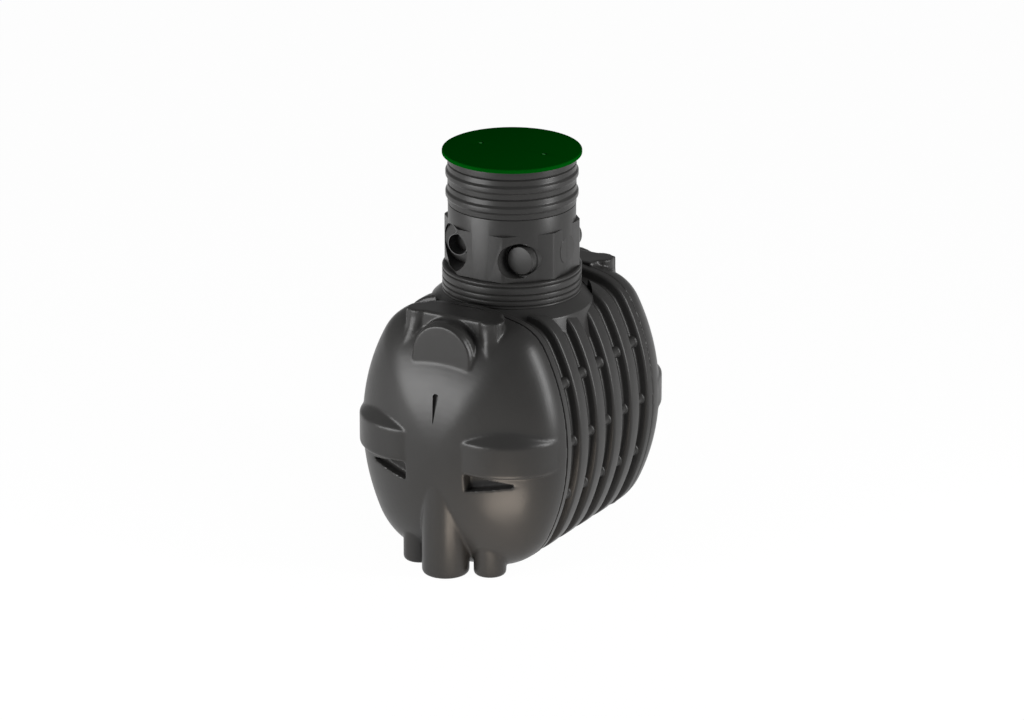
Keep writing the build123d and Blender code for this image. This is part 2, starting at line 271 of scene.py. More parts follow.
def seam_painted_shade():
    """Near-black painted shade in the seams' shallow recess, darker than the body plastic."""
    return plastic("Seam painted shade", (0.006, 0.006, 0.006, 1), 0.6, 0.1, 400.0, 0.1, 0.0, 0.1)


def paint(obj, material):
    """Puts one material in every slot of an object."""
    if not obj.material_slots:
        obj.data.materials.append(material)
    for place in obj.material_slots:
        place.material = material


# Sizes in millimetres; finish_piece brings a piece to metres

TO_METRES = 0.001

# The oval section: half width, height and the radii of its arcs
HALF_WIDTH = 555.0
BODY_HEIGHT = 1300.0
HALF_HEIGHT = BODY_HEIGHT / 2
SIDE_RADIUS = 1050.0
CROWN_RADIUS = 1100.0
FLOOR_RADIUS = 1400.0
UPPER_CORNER_RADIUS = 220.0
LOWER_CORNER_RADIUS = 320.0
ARC_STEP = 24.0

# Ribbed body between the two seams
BODY_END = 421.0
DOME_START = 425.0
SEAM_RECESS = 3.0
GROOVE_PLACES = (-336.0, -168.0, 0.0, 168.0, 336.0)
GROOVE_WIDTH = 86.0
GROOVE_DEPTH = 45.0
GROOVE_DRAFT = 8.0
GROOVE_FLOOR_ROUNDING = 10.0
BUMP_HEIGHTS = (390.0, 664.0, 950.0)
BUMP_RADIUS = 31.0
BUMP_BELOW_RIB = 23.0
BUMP_FILLET = 14.0

# Domed ends
DOME_DEPTH = 347.0
DOME_ROUNDNESS = 0.92
DOME_STEPS = 26
DOME_FLATNESS = 0.03
DOME_LAST_ANGLE = math.radians(88.5)
SKIN_VOXEL = 6.6
SKIN_SMOOTHING = 5
SKIN_SHARP = 34

# Boss: a disc on a wider step
BOSS_HEIGHT = 1117.0
BOSS_RADIUS = 159.0
BOSS_FACE = 680.0
BOSS_STEP_RADIUS = 168.0
BOSS_STEP_FACE = 655.0

# Shoulder and its lugs; a lug's rings are across, along, height and radius
SHOULDER_RIM_HALF_WIDTH = 200
SHOULDER_HALF_WIDTH = 258
SHOULDER_FACE = 587
SHOULDER_FOOT = 1000.0
LUG_RINGS = (
    (195.0, -535.0, 1300.0, 66.0),
    (198.0, -541.0, 1265.0, 60.0),
    (208.0, -560.0, 1205.0, 50.0),
    (224.0, -590.0, 1145.0, 42.0),
    (244.0, -620.0, 1085.0, 34.0),
)
LUG_SIDES = 40

# Pads, the pockets under them and the drop
PAD_SPREAD = 232.0
PAD_BACK = 448.0
PAD_RADIUS = 316.0
PAD_BOTTOM = 570.0
PAD_EDGE = 733.0
PAD_TOP = 785.0
PAD_TOP_RADIUS = 266.0
POCKET_CORNERS = ((165.0, 480.0), (420.0, 522.0), (165.0, 572.0))
POCKET_BACKS = (-690.0, -600.0, -690.0)
POCKET_FRONT = -900.0
DROP_HEAD_HEIGHT = 930.0
DROP_TAIL_HEIGHT = 805.0
DROP_HEAD_RADIUS = 17.0
DROP_TAIL_RADIUS = 3.0
DROP_HEAD_SUNK = 6.0
DROP_TAIL_SUNK = 1.0

# Feet
CORNER_FOOT_X = 198.0
CORNER_FOOT_Y = 556.0
CORNER_FOOT_RADIUS = 80.0
CORNER_FOOT_TOP = 300.0
CENTRE_FOOT_Y = 643.0
CENTRE_FOOT_RADIUS = 116.0
CENTRE_FOOT_TOP = 620.0
FOOT_ROUNDING = 20.0

# Neck
SHAFT_RADIUS = 300.0
COLLAR_RADIUS = 340.0
COLLAR_BOTTOM = 1267.0
COLLAR_BANDS = (17.0, 27.0, 29.0, 39.0, 20.0)
COLLAR_TOP = 1399.0
MOAT_RADIUS = 392.0
MOAT_FLOOR = 1218.0
RING_RADIUS = 311.5
RING_TOP = 1712.0
FLAT_DISTANCE = 308.0
FLATS_BOTTOM = 1401.0
FLATS_TOP = 1633.0
PORT_X = 185.0
FLATS_BEVEL = 9.0
PORT_HEIGHT = 1508.0
PORT_RADIUS = 70.0
PORT_FACE = 243.0
PORT_ROOM_RADIUS = 88.0
PORT_ROOM_BACK = 226.0
PORT_STEP_RADIUS = 80.0
PORT_STEP_BACK = 200.0
INLET_HEIGHT = 1517.0
INLET_RADIUS = 112.0
INLET_BACK = 136.0
CUTTER_REACH = 420.0
BLANK_HEIGHT = 1516.0
BLANK_RADIUS = 73.0
BLANK_FACE = 311.0
RING_STEPS = 160
EXTENSION_RADIUS = 313.0
EXTENSION_TOP = 1962.0
BEAD_RADIUS = 323.0
BEAD_PITCH = 102.0
BEAD_HALF_WIDTH = 22
BEAD_HALF_CREST = 11
CREASE = 5
CREASE_DEPTH = 6
LID_RADIUS = 340.0
LID_SKIRT = 3
LID_SKIRT_RADIUS = 318.0
SCREW_RADIUS = 16
SCREW_DEPTH = 5
LID_TOP = 1979.0
SCREW_SPREAD = 176.0


# Shape helpers

def arc(centre_x, centre_y, radius, start, sweep, steps):
    """Points along an arc, both ends included, with angles in radians."""
    return [
        (centre_x + radius * math.cos(start + sweep * i / steps),
         centre_y + radius * math.sin(start + sweep * i / steps))
        for i in range(steps + 1)
    ]


def rounded(corners, steps=4):
    """A line through corners given as (x, y, rounding), with an arc at each rounded corner."""
    points = []
    for i, (x, y, rounding) in enumerate(corners):
        here = Vector((x, y))
        if not rounding or i in (0, len(corners) - 1):
            points.append((x, y))
            continue
        back = (Vector(corners[i - 1][:2]) - here).normalized()
        ahead = (Vector(corners[i + 1][:2]) - here).normalized()
        half = back.angle(ahead) / 2
        set_back = rounding / math.tan(half)
        centre = here + (back + ahead).normalized() * (rounding / math.sin(half))
        first = here + back * set_back - centre
        last = here + ahead * set_back - centre
        turn = first.angle_signed(last)
        for k in range(steps + 1):
            spoke = Vector(first)
            spoke.rotate(Matrix.Rotation(-turn * k / steps, 2))
            points.append(tuple(centre + spoke))
    return points


def add_line(bm, points, closed=False):
    """Adds a line of edges through three-dimensional points and gives its geometry."""
    verts = [bm.verts.new(point) for point in points]
    pairs = list(zip(verts, verts[1:]))
    if closed:
        pairs.append((verts[-1], verts[0]))
    return verts + [bm.edges.new(pair) for pair in pairs]


def spin_line(bm, geometry, centre, axis, angle, steps):
    """Turns a line about an axis into a surface."""
    full = abs(angle - 2 * math.pi) < 1e-6
    bmesh.ops.spin(bm, geom=geometry, cent=centre, axis=axis, dvec=(0, 0, 0), angle=angle,
                   steps=steps, use_merge=full, use_duplicate=False)


def spin_upright(bm, profile, x=0.0, y=0.0, steps=96, closed=False):
    """A round form about an upright axis, from points of radius and height."""
    line = add_line(bm, [(x + radius, y, height) for radius, height in profile], closed)
    spin_line(bm, line, (x, y, 0), (0, 0, 1), 2 * math.pi, steps)


def spin_along(bm, profile, x, height, steps=64, closed=False):
    """A round form about an axis along the body, from points of radius and place."""
    line = add_line(bm, [(x + radius, place, height) for radius, place in profile], closed)
    spin_line(bm, line, (x, 0, height), (0, 1, 0), 2 * math.pi, steps)


def finish_piece(bm, name, material, nodes=(), sharp=32.0):
    """Merges, turns normals outward, brings to metres and makes the piece that rides."""
    bmesh.ops.remove_doubles(bm, verts=bm.verts, dist=0.02)
    bmesh.ops.dissolve_degenerate(bm, dist=0.02, edges=bm.edges)
    bmesh.ops.recalc_face_normals(bm, faces=bm.faces)
    bmesh.ops.scale(bm, vec=(TO_METRES,) * 3, verts=bm.verts)
    mesh = bpy.data.meshes.new(name)
    bm.to_mesh(mesh)
    bm.free()
    return dress_piece(mesh, name, material, nodes, sharp)


def dress_piece(mesh, name, material, nodes, sharp):
    """Makes the object of a finished mesh, with its material, shading and body."""
    mesh.shade_smooth()
    mesh.set_sharp_from_angle(angle=math.radians(sharp))
    piece = bpy.data.objects.new(name, mesh)
    bpy.context.scene.collection.objects.link(piece)
    paint(piece, material)
    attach(piece, ROOT)
    if nodes:
        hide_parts(*nodes)
    return piece


def loose_mesh(bm, name):
    """A helper object for a boolean, which is deleted once it has been used."""
    bmesh.ops.remove_doubles(bm, verts=bm.verts, dist=0.02)
    bmesh.ops.recalc_face_normals(bm, faces=bm.faces)
    mesh = bpy.data.meshes.new(name)
    bm.to_mesh(mesh)
    bm.free()
    helper = bpy.data.objects.new(name, mesh)
    bpy.context.scene.collection.objects.link(helper)
    return helper


def baked(helper, cutters=(), adders=(), voxel=0.0, smoothing=0):
    """The mesh of a helper after booleans, remesh and smoothing; the helpers are deleted."""
    for operation, others in (("UNION", adders), ("DIFFERENCE", cutters)):
        for other in others:
            step = helper.modifiers.new(operation.title(), "BOOLEAN")
            step.operation = operation
            step.solver = "EXACT"
            step.object = other
    if voxel:
        remesh = helper.modifiers.new("Even skin", "REMESH")
        remesh.mode = "VOXEL"
        remesh.voxel_size = voxel
        remesh.use_smooth_shade = True
    if smoothing:
        smooth = helper.modifiers.new("Soft corners", "SMOOTH")
        smooth.factor = 0.5
        smooth.iterations = smoothing
    graph = bpy.context.evaluated_depsgraph_get()
    mesh = bpy.data.meshes.new_from_object(helper.evaluated_get(graph))
    for done in (helper,) + tuple(cutters) + tuple(adders):
        old = done.data
        bpy.data.objects.remove(done)
        bpy.data.meshes.remove(old)
    return mesh


def corner_place(crown, corner):
    """Where a corner arc has its centre between the side arc and a crown, and its two angles."""
    side_centre = HALF_WIDTH - SIDE_RADIUS
    crown_centre = HALF_HEIGHT - crown
    side_reach = SIDE_RADIUS - corner
    crown_reach = crown - corner
    gap = math.hypot(side_centre, crown_centre)
    along = (side_reach**2 - crown_reach**2 + gap**2) / (2 * gap)
    across = math.sqrt(side_reach**2 - along**2)
    x = side_centre - (along * side_centre + across * crown_centre) / gap
    z = (along * crown_centre - across * side_centre) / gap
    return x, z, math.atan2(z, x - side_centre), math.atan2(z - crown_centre, x)


def oval_arcs():
    """The eight arcs of the section: centre from its middle, radius, start angle and sweep."""
    side = HALF_WIDTH - SIDE_RADIUS
    crown = HALF_HEIGHT - CROWN_RADIUS
    floor = FLOOR_RADIUS - HALF_HEIGHT
    ux, uz, upper_side, crown_angle = corner_place(CROWN_RADIUS, UPPER_CORNER_RADIUS)
    lx, lz, lower_side, floor_angle = corner_place(FLOOR_RADIUS, LOWER_CORNER_RADIUS)
    half = math.pi
    return (
        (side, 0, SIDE_RADIUS, -lower_side, upper_side + lower_side),
        (ux, uz, UPPER_CORNER_RADIUS, upper_side, crown_angle - upper_side),
        (0, crown, CROWN_RADIUS, crown_angle, half - 2 * crown_angle),
        (-ux, uz, UPPER_CORNER_RADIUS, half - crown_angle, crown_angle - upper_side),
        (-side, 0, SIDE_RADIUS, half - upper_side, upper_side + lower_side),
        (-lx, -lz, LOWER_CORNER_RADIUS, half + lower_side, floor_angle - lower_side),
        (0, floor, FLOOR_RADIUS, half + floor_angle, half - 2 * floor_angle),
        (lx, -lz, LOWER_CORNER_RADIUS, -floor_angle, floor_angle - lower_side),
    )


def arc_steps(radius, sweep):
    """How many steps an arc of the section gets."""
    return max(6, round(radius * sweep / ARC_STEP))


def oval_points(inset):
    """The section's outline moved in by inset, as points from its middle."""
    points = []
    for x, z, radius, start, sweep in oval_arcs():
        points += arc(x, z, radius - inset, start, sweep, arc_steps(radius, sweep))[:-1]
    return points


def half_width_at(height):
    """How far the side arc stands out at a height over the ground."""
    return HALF_WIDTH - SIDE_RADIUS + math.sqrt(SIDE_RADIUS**2 - (height - HALF_HEIGHT) ** 2)


def loop_edges(geometry):
    """The edges among some geometry."""
    return [item for item in geometry if isinstance(item, bmesh.types.BMEdge)]


# Domed end

def dome_share(angle):
    """The share of the dome's depth at an angle from its rim, a little flatter half way up."""
    return math.sin(angle) ** DOME_ROUNDNESS - DOME_FLATNESS * math.sin(2 * angle) ** 2


def add_dome(bm):
    """The dome: the section, drawn in again and again toward its pole."""
    outline = oval_points(0)
    loop = loop_edges(add_line(
        bm, [(x, -DOME_START, HALF_HEIGHT + z) for x, z in outline], closed=True))
    bmesh.ops.contextual_create(bm, geom=loop)
    last = 1.0
    place = DOME_START
    for step in range(1, DOME_STEPS + 1):
        angle = step / DOME_STEPS * DOME_LAST_ANGLE
        scale = math.cos(angle)
        reach = DOME_START + DOME_DEPTH * dome_share(angle)
        grown = bmesh.ops.extrude_edge_only(bm, edges=loop)["geom"]
        verts = [item for item in grown if isinstance(item, bmesh.types.BMVert)]
        loop = [edge for edge in loop_edges(grown) if all(vert in verts for vert in edge.verts)]
        shrink = scale / last
        bmesh.ops.scale(bm, vec=(shrink, 1, shrink), verts=verts,
                        space=Matrix.Translation((0, 0, -HALF_HEIGHT)))
        bmesh.ops.translate(bm, vec=(0, place - reach, 0), verts=verts)
        last = scale
        place = reach
    bmesh.ops.contextual_create(bm, geom=loop)


def pocket_cutter(side):
    """The wedge that hollows the dome under one pad."""
    bm = bmesh.new()
    rows = []
    for places in (POCKET_BACKS, (POCKET_FRONT,) * 3):
        rows.append([bm.verts.new((side * x, y, z))
                     for (x, z), y in zip(POCKET_CORNERS, places)])
    bm.faces.new(rows[0])
    bm.faces.new(rows[1])
    for i in range(3):
        j = (i + 1) % 3
        bm.faces.new((rows[0][i], rows[0][j], rows[1][j], rows[1][i]))
    return loose_mesh(bm, "pocket")


def dimple_cutter(skin):
    """The drop in a skin: a round head over a tail that narrows downward."""
    bm = bmesh.new()
    bm.from_mesh(skin)
    tree = BVHTree.FromBMesh(bm)
    bm.free()
    places = []
    for height, sunk in (
            (DROP_HEAD_HEIGHT, DROP_HEAD_SUNK), (DROP_TAIL_HEIGHT, DROP_TAIL_SUNK)):
        hit = tree.ray_cast(Vector((0, -1000, height)), Vector((0, 1, 0)))[0]
        places.append(hit + Vector((0, sunk, 0)))
    head, tail = places
    bm = bmesh.new()
    across = head - tail
    turn = across.to_track_quat("Z", "Y").to_matrix().to_4x4()
    bmesh.ops.create_cone(
        bm, cap_ends=True, segments=24, radius1=DROP_TAIL_RADIUS, radius2=DROP_HEAD_RADIUS,
        depth=across.length, matrix=Matrix.Translation((head + tail) / 2) @ turn)
    drop = loose_mesh(bm, "drop")
    bm = bmesh.new()
    bmesh.ops.create_icosphere(bm, subdivisions=3, radius=DROP_HEAD_RADIUS,
                               matrix=Matrix.Translation(head))
    return drop, loose_mesh(bm, "drop_head")


def add_lug(bm, side):
    """A lug of the shoulder: a disc that narrows downward and leans outward into the dome."""
    loops = []
    for x, y, z, radius in LUG_RINGS:
        points = [(side * x + radius * math.cos(a), y + radius * math.sin(a), z)
                  for a in (2 * math.pi * i / LUG_SIDES for i in range(LUG_SIDES))]
        loops.append(loop_edges(add_line(bm, points, closed=True)))
    for low, high in zip(loops, loops[1:]):
        bmesh.ops.bridge_loops(bm, edges=low + high)
    for end in (loops[0], loops[-1]):
        bmesh.ops.contextual_create(bm, geom=end)


def add_prism(bm, outline, bottom, top):
    """An upright prism over an outline of points."""
    loop = loop_edges(add_line(bm, [(x, y, bottom) for x, y in outline], closed=True))
    face = bmesh.ops.contextual_create(bm, geom=loop)["faces"]
    grown = bmesh.ops.extrude_face_region(bm, geom=face, use_keep_orig=True)["geom"]
    verts = [item for item in grown if isinstance(item, bmesh.types.BMVert)]
    bmesh.ops.translate(bm, vec=(0, 0, top - bottom), verts=verts)


def add_post(bm, x, y, bottom, top, radius, rounding):
    """A round post with rounded ends."""
    profile = rounded((
        (0.0, bottom, 0), (radius, bottom, rounding), (radius, top, rounding), (0.0, top, 0)))
    spin_upright(bm, profile, x, y, 80)


def end_mesh():
    """The front end: dome with pockets, boss, shoulder, lugs, pads and feet in one skin."""
    bm = bmesh.new()
    add_dome(bm)
    dome = loose_mesh(bm, "dome")
    hollowed = baked(dome, [pocket_cutter(-1), pocket_cutter(1)])
    bm = bmesh.new()
    bm.from_mesh(hollowed)
    bpy.data.meshes.remove(hollowed)
    spin_along(bm, rounded((
        (0.0, -DOME_START, 0), (BOSS_STEP_RADIUS, -DOME_START, 0),
        (BOSS_STEP_RADIUS, -BOSS_STEP_FACE, 4), (BOSS_RADIUS, -BOSS_STEP_FACE - 3, 2),
        (BOSS_RADIUS, -BOSS_FACE, 5), (0.0, -BOSS_FACE, 0))), 0, BOSS_HEIGHT, 96)
    add_prism(bm, (
        (-SHOULDER_RIM_HALF_WIDTH, -DOME_START), (-SHOULDER_HALF_WIDTH, -SHOULDER_FACE),
        (SHOULDER_HALF_WIDTH, -SHOULDER_FACE), (SHOULDER_RIM_HALF_WIDTH, -DOME_START)),
        SHOULDER_FOOT, BODY_HEIGHT)
    for side in (-1, 1):
        add_lug(bm, side)
        pad = rounded((
            (0.0, PAD_BOTTOM, 0), (PAD_RADIUS, PAD_BOTTOM, 20), (PAD_RADIUS, PAD_EDGE, 16),
            (PAD_TOP_RADIUS, PAD_TOP, 0), (0.0, PAD_TOP, 0)))
        spin_upright(bm, pad, side * PAD_SPREAD, -PAD_BACK, 160)
        add_post(bm, side * CORNER_FOOT_X, -CORNER_FOOT_Y, 0.0, CORNER_FOOT_TOP,
                 CORNER_FOOT_RADIUS, FOOT_ROUNDING)
    add_post(bm, 0.0, -CENTRE_FOOT_Y, 0.0, CENTRE_FOOT_TOP, CENTRE_FOOT_RADIUS, FOOT_ROUNDING)
    bmesh.ops.bisect_plane(
        bm, geom=bm.verts[:] + bm.edges[:] + bm.faces[:], dist=0.001,
        plane_co=(0, -DOME_START, 0), plane_no=(0, 1, 0), clear_outer=True)
    rims = [edge for edge in bm.edges if edge.is_boundary]
    bmesh.ops.holes_fill(bm, edges=rims, sides=0)
    joined = loose_mesh(bm, "end")
    skin = baked(joined, voxel=SKIN_VOXEL, smoothing=SKIN_SMOOTHING)
    holder = bpy.data.objects.new("skin", skin)
    bpy.context.scene.collection.objects.link(holder)
    return baked(holder, dimple_cutter(skin))


# Ribbed body

def rib_profile(radius):
    """The wall's outline along the body, as distance from an arc's centre and place."""
    half = GROOVE_WIDTH / 2
    floor = half - GROOVE_DRAFT
    edge = bpy.context.scene.tank_shape.rib_rounding / TO_METRES
    corners = [(radius, -BODY_END, 0)]
    for place in GROOVE_PLACES:
        corners += [
            (radius, place - half, edge),
            (radius - GROOVE_DEPTH, place - floor, GROOVE_FLOOR_ROUNDING),
            (radius - GROOVE_DEPTH, place + floor, GROOVE_FLOOR_ROUNDING),
            (radius, place + half, edge),
        ]
    corners.append((radius, BODY_END, 0))
    return rounded(corners, 4)


def add_ribs(bm):
    """The ribbed wall: its outline turned along the eight arcs."""
    for x, z, radius, start, sweep in oval_arcs():
        centre = Vector((x, 0, HALF_HEIGHT + z))
        out = Vector((math.cos(start), 0, math.sin(start)))
        points = [centre + out * away + Vector((0, place, 0))
                  for away, place in rib_profile(radius)]
        spin_line(bm, add_line(bm, points), centre, (0, -1, 0), sweep, arc_steps(radius, sweep))
    bmesh.ops.remove_doubles(bm, verts=bm.verts, dist=0.05)
    rims = [edge for edge in bm.edges if edge.is_boundary]
    bmesh.ops.holes_fill(bm, edges=rims, sides=0)


def neck_cutter():
    """The room that the moat and the saddle's skirt take out of the ribbed body."""
    bm = bmesh.new()
    spin_upright(bm, [
        (0, MOAT_FLOOR - 190), (425, MOAT_FLOOR - 190), (400, MOAT_FLOOR - 60),
        (MOAT_RADIUS, MOAT_FLOOR), (MOAT_RADIUS, BODY_HEIGHT + 10), (0, BODY_HEIGHT + 10)],
        steps=128)
    return loose_mesh(bm, "neck_room")


def add_bumps(bm):
    """The half-round bumps in the grooves, flared where they meet the grooves' walls."""
    half = GROOVE_WIDTH / 2
    flare = arc(BUMP_RADIUS + BUMP_FILLET, half - BUMP_FILLET, BUMP_FILLET, math.pi,
                -math.pi / 2, 5)
    for side in (-1, 1):
        for height in BUMP_HEIGHTS:
            x = side * (half_width_at(height) - BUMP_RADIUS - BUMP_BELOW_RIB)
            for place in GROOVE_PLACES:
                outline = [(0.0, place - half), (BUMP_RADIUS, place - half)]
                outline += [(radius, place + along) for radius, along in flare]
                outline += [(0.0, place + half)]
                spin_along(bm, outline, x, height, 40)


# Neck with ports

def bar_along(x, height, radius, near, far, name, steps=72):
    """A round helper bar along the body between two places."""
    bm = bmesh.new()
    spin_along(bm, [(0, near), (radius, near), (radius, far), (0, far)], x, height, steps)
    return loose_mesh(bm, name)


def ring_mesh():
    """The inlet ring: a cylinder and an eight-sided prism in one, hollowed for its ports."""
    bm = bmesh.new()
    spin_upright(bm, rounded((
        (0, COLLAR_TOP, 0), (RING_RADIUS, COLLAR_TOP, 0), (RING_RADIUS, RING_TOP, 2),
        (0, RING_TOP, 0))), steps=RING_STEPS)
    ring = loose_mesh(bm, "ring")
    bm = bmesh.new()
    half_side = FLAT_DISTANCE * math.tan(math.pi / 8)
    corner = math.hypot(half_side, FLAT_DISTANCE)
    outline = [(corner * math.cos(a), corner * math.sin(a))
               for a in (math.pi / 8 + i * math.pi / 4 for i in range(8))]
    add_prism(bm, outline, FLATS_BOTTOM, FLATS_TOP)
    uprights = [edge for edge in bm.edges
                if abs(edge.verts[0].co.z - edge.verts[1].co.z) > 1.0]
    bmesh.ops.bevel(bm, geom=uprights, offset=FLATS_BEVEL, offset_type="OFFSET", affect="EDGES",
                    segments=1, profile=0.5, material=-1)
    prism = loose_mesh(bm, "prism")
    cutters = [bar_along(-PORT_X, INLET_HEIGHT, INLET_RADIUS, -CUTTER_REACH, -INLET_BACK,
                         "inlet_room", 96)]
    for x, side in ((PORT_X, -1), (PORT_X, 1), (-PORT_X, 1)):
        for radius, back, name in ((PORT_ROOM_RADIUS, PORT_ROOM_BACK, "port_room"),
                                   (PORT_STEP_RADIUS, PORT_STEP_BACK, "port_step")):
            cutters.append(bar_along(x, PORT_HEIGHT, radius, side * CUTTER_REACH, side * back,
                                     name, 96))
    return baked(ring, cutters, [prism])


def add_plug(bm, x, side):
    """A closed port's plug: a round cup with a softly rounded face and a collar behind it."""
    profile = rounded((
        (0.0, -PORT_FACE, 0), (PORT_RADIUS, -PORT_FACE, 4), (PORT_RADIUS, -206.0, 3),
        (79.0, -203.0, 2),
        (79.0, -150.0, 0), (0.0, -150.0, 0)))
    spin_along(bm, [(radius, -side * place) for radius, place in profile], x, PORT_HEIGHT, 72)


def add_blank(bm, side):
    """A side blank: a disc with a bevelled edge that stands just proud of its flat."""
    profile = rounded((
        (0.0, BLANK_FACE, 0), (BLANK_RADIUS - 5, BLANK_FACE, 2),
        (BLANK_RADIUS, BLANK_FACE - 5, 1), (BLANK_RADIUS, 290.0, 0), (0.0, 290.0, 0)))
    line = add_line(bm, [(side * place, 0, BLANK_HEIGHT + radius) for radius, place in profile])
    spin_line(bm, line, (0, 0, BLANK_HEIGHT), (1, 0, 0), 2 * math.pi, 72)


def extension_profile():
    """The extension's outline: two beads between three creases."""
    crease_radius = EXTENSION_RADIUS - CREASE_DEPTH
    corners = [(SHAFT_RADIUS, RING_TOP, 0), (crease_radius, RING_TOP, 0)]
    for low in (RING_TOP, RING_TOP + BEAD_PITCH):
        middle = low + BEAD_PITCH / 2
        corners += [
            (EXTENSION_RADIUS, low + CREASE, 3), (EXTENSION_RADIUS, middle - BEAD_HALF_WIDTH, 8),
            (BEAD_RADIUS, middle - BEAD_HALF_CREST, 6), (BEAD_RADIUS, middle + BEAD_HALF_CREST, 6),
            (EXTENSION_RADIUS, middle + BEAD_HALF_WIDTH, 8),
            (EXTENSION_RADIUS, low + BEAD_PITCH - CREASE, 3), (crease_radius, low + BEAD_PITCH, 0)]
    corners += [(EXTENSION_RADIUS, RING_TOP + 2 * BEAD_PITCH + CREASE, 3),
                (EXTENSION_RADIUS, EXTENSION_TOP, 0), (SHAFT_RADIUS, EXTENSION_TOP, 0)]
    return rounded(corners, 3)


# Operators: one for each group of pieces

class TANK_OT_ends(bpy.types.Operator):
    """Make the two moulded ends."""

    bl_idname = "tank.ends"
    bl_label = "Make the ends"

    def execute(self, context):
        skin = end_mesh()
        skin.transform(Matrix.Scale(TO_METRES, 4))
        mirrored = skin.copy()
        mirrored.transform(Matrix.Scale(-1, 4, (0, 1, 0)))
        mirrored.flip_normals()
        dress_piece(skin, "front_end_skin", black_plastic(), ("front_end",), SKIN_SHARP)
        dress_piece(mirrored, "rear_end_skin", black_plastic(), ("rear_end",), SKIN_SHARP)
        return {"FINISHED"}


class TANK_OT_body(bpy.types.Operator):
    """Make the ribbed body and its seams."""

    bl_idname = "tank.body"
    bl_label = "Make the ribbed body"

    def execute(self, context):
        bm = bmesh.new()
        add_ribs(bm)
        body = baked(loose_mesh(bm, "ribs"), [neck_cutter()])
        bm = bmesh.new()
        bm.from_mesh(body)
        bpy.data.meshes.remove(body)
        add_bumps(bm)
        finish_piece(bm, "ribbed_body", black_plastic(), BODY_NODES, SKIN_SHARP)
        for name, side in (("front_seam", -1), ("rear_seam", 1)):
            bm = bmesh.new()
            places = (DOME_START + 1, BODY_END - 1)
            loops = []
            for place in places:
                points = [(x, side * place, HALF_HEIGHT + z) for x, z in oval_points(SEAM_RECESS)]
                loops.append(loop_edges(add_line(bm, points, closed=True)))
            bmesh.ops.bridge_loops(bm, edges=loops[0] + loops[1])
            for loop in loops:
                bmesh.ops.contextual_create(bm, geom=loop)
            # The seam band's near-black colour is painted shade in the joint
            finish_piece(bm, name + "_line", seam_painted_shade(), (name,))
        return {"FINISHED"}


class TANK_OT_neck(bpy.types.Operator):
    """Make the saddle, collar, inlet ring and extension of the neck."""

    bl_idname = "tank.neck"
    bl_label = "Make the neck"

    def execute(self, context):
        bm = bmesh.new()
        spin_upright(bm, rounded((
            (417.0, 1028.0, 0), (392.0, 1158.0, 0), (384.0, 1208.0, 6), (345.0, 1255.0, 0),
            (318.0, 1262.0, 0), (318.0, COLLAR_BOTTOM, 0), (COLLAR_RADIUS, 1272.0, 6),
            (MOAT_RADIUS + 2, 1224.0, 10), (402.0, 1158.0, 30), (427.0, 1028.0, 0))),
            steps=128, closed=True)
        finish_piece(bm, "saddle_skin", black_plastic(), ("neck_saddle",))
        # Collar: rounded bands with a thin crease between them
        bm = bmesh.new()
        corners = [(SHAFT_RADIUS, COLLAR_BOTTOM, 0), (COLLAR_RADIUS - 7, COLLAR_BOTTOM, 0)]
        height = COLLAR_BOTTOM
        for band in COLLAR_BANDS:
            corners += [(COLLAR_RADIUS, height + 5, 5), (COLLAR_RADIUS, height + band - 5, 5),
                        (COLLAR_RADIUS - 7, height + band, 0)]
            height += band
        corners += [(RING_RADIUS, COLLAR_TOP + 1, 0), (SHAFT_RADIUS, COLLAR_TOP, 0)]
        spin_upright(bm, rounded(corners, 3), steps=128, closed=True)
        finish_piece(bm, "collar_bands", black_plastic(), ("neck_collar",))
        ring = ring_mesh()
        ring.transform(Matrix.Scale(TO_METRES, 4))
        dress_piece(ring, "inlet_ring_skin", black_plastic(), ("inlet_ring",), 30)
        for name, x, side in (("front_right_port", PORT_X, -1), ("rear_right_port", PORT_X, 1),
                              ("rear_left_port", -PORT_X, 1)):
            bm = bmesh.new()
            add_plug(bm, x, side)
            finish_piece(bm, name + "_plug", black_plastic(), (name,))
        for name, side in (("right_blank", 1), ("left_blank", -1)):
            bm = bmesh.new()
            add_blank(bm, side)
            finish_piece(bm, name + "_disc", black_plastic(), (name,))
        bm = bmesh.new()
        spin_upright(bm, extension_profile(), steps=RING_STEPS, closed=True)
        finish_piece(bm, "extension_beads", black_plastic(), ("extension_ring",))
        paint(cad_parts["inlet_pipe"], pipe_plastic())
        return {"FINISHED"}


class TANK_OT_lid(bpy.types.Operator):
    """Make the lid's disc and finish its screws."""

    bl_idname = "tank.lid"
    bl_label = "Make the lid"

    def execute(self, context):
        bm = bmesh.new()
        spin_upright(bm, rounded((
            (0.0, EXTENSION_TOP, 0), (LID_SKIRT_RADIUS, EXTENSION_TOP, 0),
            (LID_SKIRT_RADIUS, EXTENSION_TOP - LID_SKIRT, 0),
            (LID_RADIUS, EXTENSION_TOP - LID_SKIRT, 4), (LID_RADIUS, LID_TOP, 6),
            (0.0, LID_TOP, 0))), steps=RING_STEPS)
        disc = loose_mesh(bm, "disc")
        holes = []
        for side in (-1, 1):
            bm = bmesh.new()
            low, high = LID_TOP - SCREW_DEPTH, LID_TOP + SCREW_DEPTH
            spin_upright(bm, [(0, low), (SCREW_RADIUS, low), (SCREW_RADIUS + 1, high),
                              (0, high)], side * SCREW_SPREAD, 0, 40)
            holes.append(loose_mesh(bm, "screw_hole"))
        top = baked(disc, holes)
        top.transform(Matrix.Scale(TO_METRES, 4))
        dress_piece(top, "lid_disc", green_plastic(), ("lid",), 30)
        paint(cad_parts["lid_screws"], screw_plastic())
        return {"FINISHED"}


